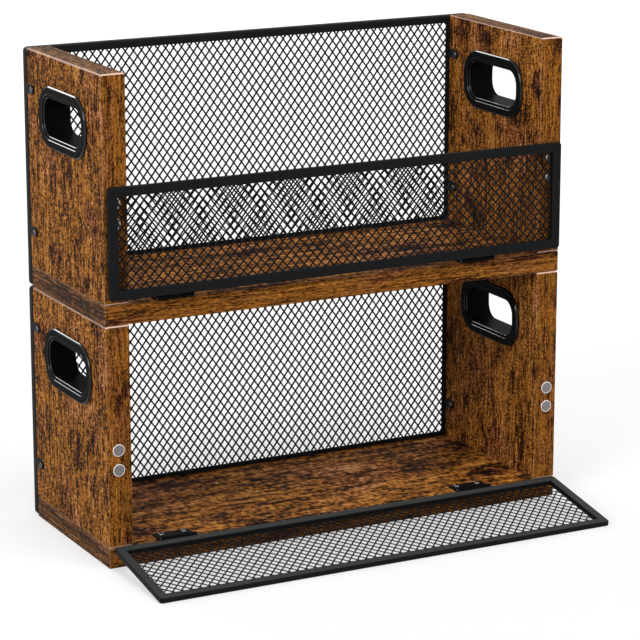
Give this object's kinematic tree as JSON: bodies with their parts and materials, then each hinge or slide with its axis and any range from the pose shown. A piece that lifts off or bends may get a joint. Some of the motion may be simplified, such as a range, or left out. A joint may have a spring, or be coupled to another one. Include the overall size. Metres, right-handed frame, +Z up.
{
  "type": "cd dvd storage tower",
  "caption": "Stackable wooden crates with mesh backs, handle holes and drop-down mesh doors held by magnets, forming a storage tower for disc cases.",
  "frame": {"origin": "on the floor, at the centre of the lower crate's bottom board", "axes": "+X to the right along the width, +Y to the mesh back, +Z up; the doors are at the front, -Y"},
  "size_m": [0.4874, 0.2911, 0.46],
  "materials": {
    "particle_board": "satin rustic brown foil over particle board",
    "frame_steel": "matt black powder coat",
    "mesh_steel": "matt black powder coat on expanded steel mesh",
    "hinge_steel": "black coated pressed steel",
    "fastener_steel": "black oxide screws, slightly shiny",
    "handle_plastic": "black moulded plastic, satin",
    "magnet_nickel": "nickel plated"
  },
  "bodies": {
    "lower_crate": {"lower_bottom_board": "particle_board", "lower_left_side_panel": "particle_board", "lower_right_side_panel": "particle_board", "lower_left_handle_outer_bezel": "handle_plastic", "lower_left_handle_inner_bezel": "handle_plastic", "lower_right_handle_outer_bezel": "handle_plastic", "lower_right_handle_inner_bezel": "handle_plastic", "lower_back_frame": "frame_steel", "lower_back_mesh": "mesh_steel", "lower_left_lower_tab_bolt": "fastener_steel", "lower_left_upper_tab_bolt": "fastener_steel", "lower_right_lower_tab_bolt": "fastener_steel", "lower_right_upper_tab_bolt": "fastener_steel", "lower_left_lower_magnet": "magnet_nickel", "lower_left_upper_magnet": "magnet_nickel", "lower_right_lower_magnet": "magnet_nickel", "lower_right_upper_magnet": "magnet_nickel", "lower_left_hinge_fixed_leaf": "hinge_steel", "lower_left_hinge_pin": "hinge_steel", "lower_left_hinge_screw_1": "fastener_steel", "lower_left_hinge_screw_2": "fastener_steel", "lower_right_hinge_fixed_leaf": "hinge_steel", "lower_right_hinge_pin": "hinge_steel", "lower_right_hinge_screw_1": "fastener_steel", "lower_right_hinge_screw_2": "fastener_steel"},
    "lower_door": {"lower_door_frame": "frame_steel", "lower_door_mesh": "mesh_steel", "lower_left_hinge_door_leaf": "hinge_steel", "lower_right_hinge_door_leaf": "hinge_steel"},
    "upper_crate": {"upper_bottom_board": "particle_board", "upper_left_side_panel": "particle_board", "upper_right_side_panel": "particle_board", "upper_left_handle_outer_bezel": "handle_plastic", "upper_left_handle_inner_bezel": "handle_plastic", "upper_right_handle_outer_bezel": "handle_plastic", "upper_right_handle_inner_bezel": "handle_plastic", "upper_back_frame": "frame_steel", "upper_back_mesh": "mesh_steel", "upper_left_lower_tab_bolt": "fastener_steel", "upper_left_upper_tab_bolt": "fastener_steel", "upper_right_lower_tab_bolt": "fastener_steel", "upper_right_upper_tab_bolt": "fastener_steel", "upper_left_lower_magnet": "magnet_nickel", "upper_left_upper_magnet": "magnet_nickel", "upper_right_lower_magnet": "magnet_nickel", "upper_right_upper_magnet": "magnet_nickel", "upper_left_hinge_fixed_leaf": "hinge_steel", "upper_left_hinge_pin": "hinge_steel", "upper_left_hinge_screw_1": "fastener_steel", "upper_left_hinge_screw_2": "fastener_steel", "upper_right_hinge_fixed_leaf": "hinge_steel", "upper_right_hinge_pin": "hinge_steel", "upper_right_hinge_screw_1": "fastener_steel", "upper_right_hinge_screw_2": "fastener_steel"},
    "upper_door": {"upper_door_frame": "frame_steel", "upper_door_mesh": "mesh_steel", "upper_left_hinge_door_leaf": "hinge_steel", "upper_right_hinge_door_leaf": "hinge_steel"}
  },
  "joints": [
    {"name": "lower_door_hinge", "type": "hinge", "parent": "lower_crate", "child": "lower_door", "pos_m": [0, -0.0893, 0.0218], "axis": [1, 0, 0], "range_deg": [-99.28, 0]},
    {"name": "upper_crate_lift", "type": "slide", "parent": "lower_crate", "child": "upper_crate", "axis": [0, 0, 1], "range_m": [0, 0.15]},
    {"name": "upper_door_hinge", "type": "hinge", "parent": "upper_crate", "child": "upper_door", "pos_m": [0, -0.0893, 0.2518], "axis": [1, 0, 0], "range_deg": [0, 120]}
  ]
}
